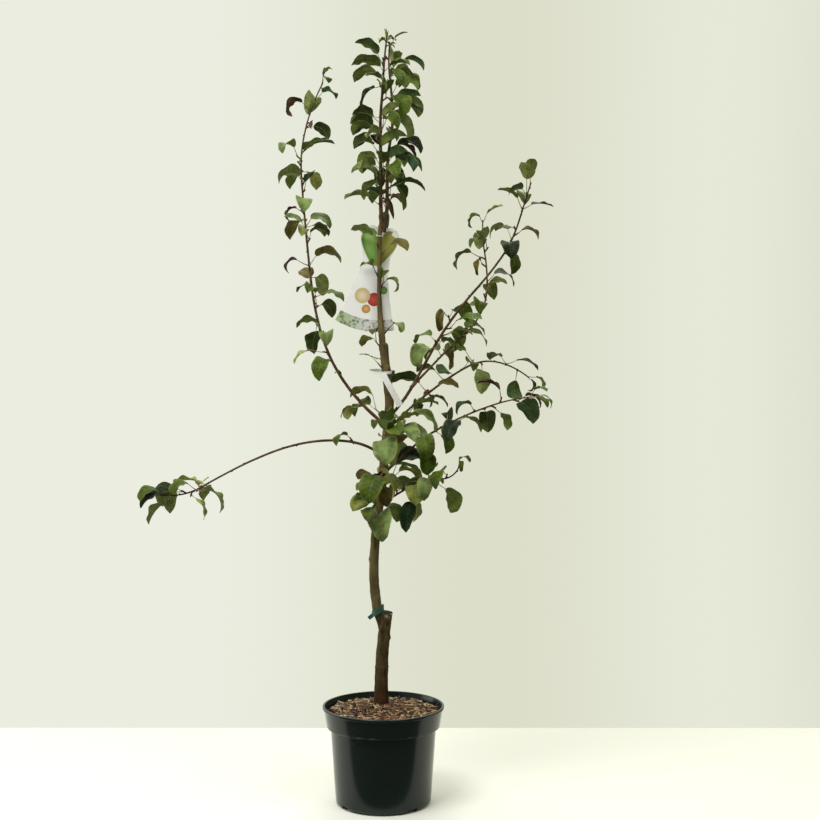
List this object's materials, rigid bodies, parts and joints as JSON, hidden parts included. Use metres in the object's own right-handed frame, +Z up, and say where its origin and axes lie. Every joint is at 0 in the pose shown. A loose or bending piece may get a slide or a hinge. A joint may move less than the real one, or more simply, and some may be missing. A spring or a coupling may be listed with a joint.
{
  "type": "potted pear tree",
  "caption": "Young grafted pear tree in a round black nursery pot, with slender upright leaders, arching side boughs and sparse curled green leaves.",
  "frame": {"origin": "middle of the pot's flat underside", "axes": "+Z up along the pot's axis, +X to the right and +Y to the back as seen from the pictured side"},
  "size_m": [0.8188, 0.3981, 1.5862],
  "materials": {
    "pot_plastic": "semi-gloss black",
    "mulch": "shredded bark",
    "bark": "smooth young bark",
    "foliage": "leaf green",
    "shoot_foliage": "dark leaf green",
    "label_card": "printed card",
    "label_strip": "bare white",
    "tie": "dull green tape"
  },
  "bodies": {
    "root": {"bark_mulch": "mulch", "bough_inner_right": "bark", "bough_low_right": "bark", "bough_lower_left": "bark", "bough_lowest_right": "bark", "bough_middle_right": "bark", "bough_upper_left": "bark", "bough_upper_right": "bark", "graft_tie": "tie", "label_card": "label_card", "label_loop": "label_strip", "label_strip": "label_strip", "leaves_inner_right": "foliage", "leaves_left_leader": "foliage", "leaves_low_right": "foliage", "leaves_lower_left": "foliage", "leaves_lowest_right": "foliage", "leaves_middle_right": "foliage", "leaves_right_leader": "foliage", "leaves_upper_left": "foliage", "leaves_upper_right": "foliage", "pot": "pot_plastic", "shoot_arm_side": "shoot_foliage", "shoot_arm_under": "shoot_foliage", "shoot_back_high": "shoot_foliage", "shoot_back_low": "shoot_foliage", "shoot_back_mid": "shoot_foliage", "shoot_cut_left": "shoot_foliage", "shoot_cut_right": "shoot_foliage", "shoot_high_back": "shoot_foliage", "shoot_high_left": "shoot_foliage", "shoot_hook_side": "shoot_foliage", "shoot_low_corner": "shoot_foliage", "shoot_low_foot": "shoot_foliage", "shoot_low_front": "shoot_foliage", "shoot_low_left": "shoot_foliage", "shoot_low_middle": "shoot_foliage", "shoot_low_nook": "shoot_foliage", "shoot_low_right": "shoot_foliage", "shoot_low_side": "shoot_foliage", "shoot_mid_corner": "shoot_foliage", "shoot_mid_front": "shoot_foliage", "shoot_mid_left": "shoot_foliage", "shoot_mid_side": "shoot_foliage", "shoot_tag_front": "shoot_foliage", "shoot_tag_left": "shoot_foliage", "shoot_tag_right": "shoot_foliage", "shoot_tag_side": "shoot_foliage", "trunk": "bark"}
  },
  "joints": []
}
